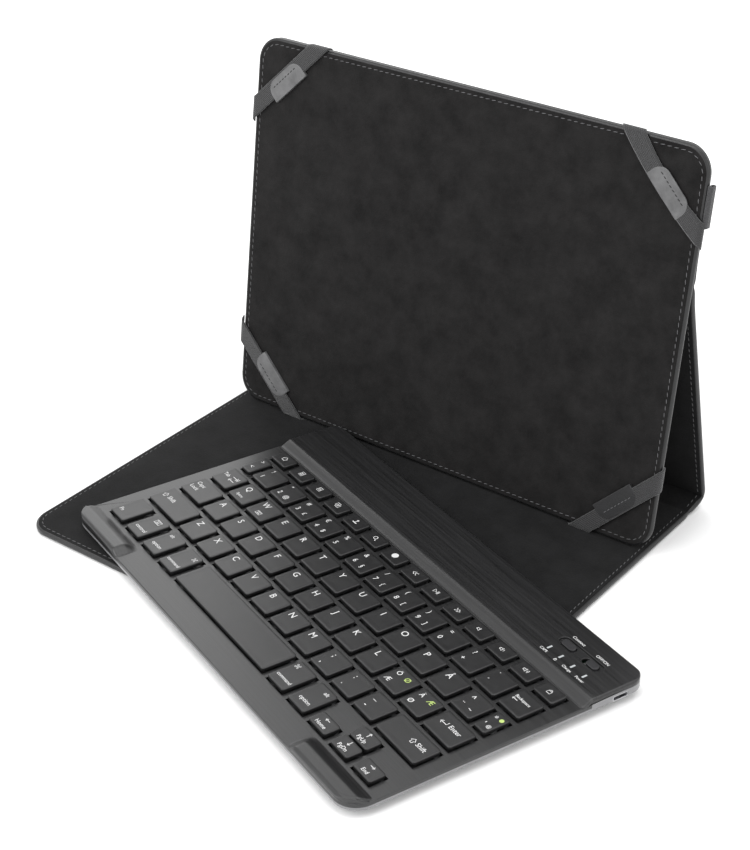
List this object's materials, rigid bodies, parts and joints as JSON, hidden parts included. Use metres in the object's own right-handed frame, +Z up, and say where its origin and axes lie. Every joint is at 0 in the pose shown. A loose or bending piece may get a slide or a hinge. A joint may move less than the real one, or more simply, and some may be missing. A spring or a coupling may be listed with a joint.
{
  "type": "tablet keyboard case",
  "caption": "Folding leather tablet cover standing as an A-frame, with elastic corner straps, a pen loop and a separate low keyboard lying askew on its base.",
  "frame": {"origin": "centre of the base section's underside", "axes": "+X along the folds to the right, +Y from the base's front edge to the spine, +Z up"},
  "size_m": [0.3014, 0.2838, 0.1983],
  "materials": {
    "cover_leather": "fine grain, matte",
    "suede": "short nap, matte",
    "stiffener": "pressed board",
    "strap_elastic": "woven elastic",
    "pen_elastic": "woven elastic",
    "tab_leather": "fine grain, matte",
    "bottom_shell": "satin",
    "top_plate": "fine texture",
    "key_cap": "fine texture",
    "control": "satin",
    "contact_film": "film",
    "support_frame": "moulded",
    "dome": "soft",
    "battery_wrap": "foil wrapped",
    "circuit": "solder mask",
    "switch_housing": "pressed",
    "steel": "plated",
    "light_guide": "clear",
    "foot": "matte"
  },
  "bodies": {
    "base": {"base_leather": "cover_leather", "base_board": "stiffener", "base_lining": "suede"},
    "spine": {"spine_leather": "cover_leather", "spine_lining": "suede"},
    "back": {"back_leather": "cover_leather", "back_board": "stiffener", "back_lining": "suede"},
    "panel": {"flap_leather": "cover_leather", "flap_board": "stiffener", "panel_leather": "cover_leather", "panel_board": "stiffener", "panel_lining": "suede", "strap_top_left": "strap_elastic", "strap_top_right": "strap_elastic", "strap_bottom_left": "strap_elastic", "strap_bottom_right": "strap_elastic", "grip_tab_top_left": "tab_leather", "grip_tab_top_right": "tab_leather", "grip_tab_bottom_left": "tab_leather", "grip_tab_bottom_right": "tab_leather", "pen_loop": "pen_elastic"},
    "keyboard": {"keyboard_bottom_cover": "bottom_shell", "keyboard_top_cover": "top_plate", "key_contact_sheet": "contact_film", "key_supports": "support_frame", "key_domes": "dome", "battery": "battery_wrap", "circuit_board": "circuit", "usb_socket": "steel", "light_pipes": "light_guide", "connect_switch_body": "switch_housing", "power_switch_body": "switch_housing", "keyboard_feet": "foot", "cover_screws": "steel"},
    "function_keys": {"keys_function": "key_cap"},
    "number_keys": {"keys_number": "key_cap"},
    "backspace_key": {"key_backspace": "key_cap"},
    "tab_key": {"key_tab": "key_cap"},
    "upper_letter_keys": {"keys_upper_letters": "key_cap"},
    "caps_lock_key": {"key_caps_lock": "key_cap"},
    "middle_letter_keys": {"keys_middle_letters": "key_cap"},
    "enter_key": {"key_enter": "key_cap"},
    "left_shift_key": {"key_left_shift": "key_cap"},
    "lower_letter_keys": {"keys_lower_letters": "key_cap"},
    "right_shift_key": {"key_right_shift": "key_cap"},
    "modifier_keys": {"keys_modifier": "key_cap"},
    "space_key": {"key_space": "key_cap"},
    "arrow_keys": {"keys_arrow": "key_cap"},
    "connect_button": {"connect_button": "control"},
    "power_switch": {"power_switch": "control"}
  },
  "joints": [
    {"name": "spine_fold", "type": "hinge", "parent": "base", "child": "spine", "pos_m": [0, 0.1015, 0.0014], "axis": [1, 0, 0], "range_deg": [-16.52, 0]},
    {"name": "back_fold", "type": "hinge", "parent": "spine", "child": "back", "pos_m": [0, 0.11425, 0.00518], "axis": [1, 0, 0], "range_deg": [-88.1, 0]},
    {"name": "panel_fold", "type": "hinge", "parent": "back", "child": "panel", "pos_m": [0, 0.07917, 0.13335], "axis": [1, 0, 0], "range_deg": [0, 19.53]},
    {"name": "keyboard_lift", "type": "slide", "parent": "base", "child": "keyboard", "axis": [0, 0, 1], "range_m": [0, 0.06]},
    {"name": "function_keys_press", "type": "slide", "parent": "keyboard", "child": "function_keys", "axis": [0, 0, -1], "range_m": [0, 0.0013], "stiffness_N_per_m": 400, "springref_m": -0.001},
    {"name": "number_keys_press", "type": "slide", "parent": "keyboard", "child": "number_keys", "axis": [0, 0, -1], "range_m": [0, 0.0013], "stiffness_N_per_m": 400, "springref_m": -0.001},
    {"name": "backspace_key_press", "type": "slide", "parent": "keyboard", "child": "backspace_key", "axis": [0, 0, -1], "range_m": [0, 0.0013], "stiffness_N_per_m": 400, "springref_m": -0.001},
    {"name": "tab_key_press", "type": "slide", "parent": "keyboard", "child": "tab_key", "axis": [0, 0, -1], "range_m": [0, 0.0013], "stiffness_N_per_m": 400, "springref_m": -0.001},
    {"name": "upper_letter_keys_press", "type": "slide", "parent": "keyboard", "child": "upper_letter_keys", "axis": [0, 0, -1], "range_m": [0, 0.0013], "stiffness_N_per_m": 400, "springref_m": -0.001},
    {"name": "caps_lock_key_press", "type": "slide", "parent": "keyboard", "child": "caps_lock_key", "axis": [0, 0, -1], "range_m": [0, 0.0013], "stiffness_N_per_m": 400, "springref_m": -0.001},
    {"name": "middle_letter_keys_press", "type": "slide", "parent": "keyboard", "child": "middle_letter_keys", "axis": [0, 0, -1], "range_m": [0, 0.0013], "stiffness_N_per_m": 400, "springref_m": -0.001},
    {"name": "enter_key_press", "type": "slide", "parent": "keyboard", "child": "enter_key", "axis": [0, 0, -1], "range_m": [0, 0.0013], "stiffness_N_per_m": 400, "springref_m": -0.001},
    {"name": "left_shift_key_press", "type": "slide", "parent": "keyboard", "child": "left_shift_key", "axis": [0, 0, -1], "range_m": [0, 0.0013], "stiffness_N_per_m": 400, "springref_m": -0.001},
    {"name": "lower_letter_keys_press", "type": "slide", "parent": "keyboard", "child": "lower_letter_keys", "axis": [0, 0, -1], "range_m": [0, 0.0013], "stiffness_N_per_m": 400, "springref_m": -0.001},
    {"name": "right_shift_key_press", "type": "slide", "parent": "keyboard", "child": "right_shift_key", "axis": [0, 0, -1], "range_m": [0, 0.0013], "stiffness_N_per_m": 400, "springref_m": -0.001},
    {"name": "modifier_keys_press", "type": "slide", "parent": "keyboard", "child": "modifier_keys", "axis": [0, 0, -1], "range_m": [0, 0.0013], "stiffness_N_per_m": 400, "springref_m": -0.001},
    {"name": "space_key_press", "type": "slide", "parent": "keyboard", "child": "space_key", "axis": [0, 0, -1], "range_m": [0, 0.0013], "stiffness_N_per_m": 400, "springref_m": -0.001},
    {"name": "arrow_keys_press", "type": "slide", "parent": "keyboard", "child": "arrow_keys", "axis": [0, 0, -1], "range_m": [0, 0.0013], "stiffness_N_per_m": 400, "springref_m": -0.001},
    {"name": "connect_button_press", "type": "slide", "parent": "keyboard", "child": "connect_button", "axis": [0, 0, -1], "range_m": [0, 0.0006], "stiffness_N_per_m": 500, "springref_m": -0.0008},
    {"name": "power_switch_slide", "type": "slide", "parent": "keyboard", "child": "power_switch", "axis": [-0.9373, 0.3486, 0], "range_m": [0, 0.0025]}
  ],
  "couplings": [
    {"joint": "spine_fold", "follows": "back_fold", "ratio": 0.18729},
    {"joint": "panel_fold", "follows": "back_fold", "ratio": -0.22145}
  ]
}
